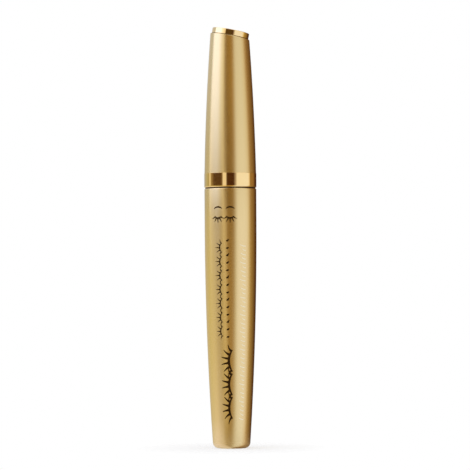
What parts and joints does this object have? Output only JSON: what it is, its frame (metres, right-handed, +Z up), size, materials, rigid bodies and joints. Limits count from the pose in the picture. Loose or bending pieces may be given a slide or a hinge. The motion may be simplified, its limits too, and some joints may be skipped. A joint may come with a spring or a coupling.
{
  "type": "mascara tube",
  "caption": "Slim tapered mascara tube: satin gold bottle and screw cap with a polished collar ring and a slanted polished top, over a threaded neck, wiper and brush wand.",
  "frame": {"origin": "middle of the base, on the surface that the tube stands on", "axes": "+Z up along the tube; the slanted top is high towards -X; -Y is the printed front"},
  "size_m": [0.016, 0.016, 0.1297],
  "materials": {
    "satin_gold": "gold-anodised aluminium, fine satin brushed up and down",
    "polished_gold": "gold-anodised aluminium, mirror polished",
    "vessel_plastic": "natural polypropylene",
    "wiper_plastic": "soft natural polyethylene",
    "liner_plastic": "white polypropylene",
    "washer_rubber": "soft white elastomer",
    "formula": "wet black mascara",
    "rod_plastic": "black moulded plastic",
    "wire_steel": "twisted stainless wire",
    "bristle_nylon": "black nylon fibre",
    "weight_steel": "zinc-plated steel",
    "label_film": "matt label film, blank"
  },
  "bodies": {
    "bottle": {"bottle_shell": "satin_gold", "base_label": "label_film", "inner_bottle": "vessel_plastic", "wiper": "wiper_plastic", "formula": "formula"},
    "washer": {"sealing_washer": "washer_rubber"},
    "weight": {"cap_weight": "weight_steel"},
    "cap": {"cap_shell": "satin_gold", "collar_ring": "polished_gold", "end_plug": "polished_gold", "inner_cap": "liner_plastic", "wand_rod": "rod_plastic", "brush_wire": "wire_steel", "bristles": "bristle_nylon"}
  },
  "joints": [
    {"name": "pull_out", "type": "slide", "parent": "bottle", "child": "washer", "axis": [0, 0, 1], "range_m": [0, 0.095], "deforming": ["bristles"]},
    {"name": "cap_rise", "type": "slide", "parent": "washer", "child": "weight", "axis": [0, 0, 1], "range_m": [0, 0.0054]},
    {"name": "cap_turn", "type": "hinge", "parent": "weight", "child": "cap", "pos_m": [0, 0, 0.081], "axis": [0, 0, 1], "range_deg": [0, 540]}
  ],
  "couplings": [
    {"joint": "cap_turn", "follows": "cap_rise", "rad_per_m": 1745.3}
  ]
}
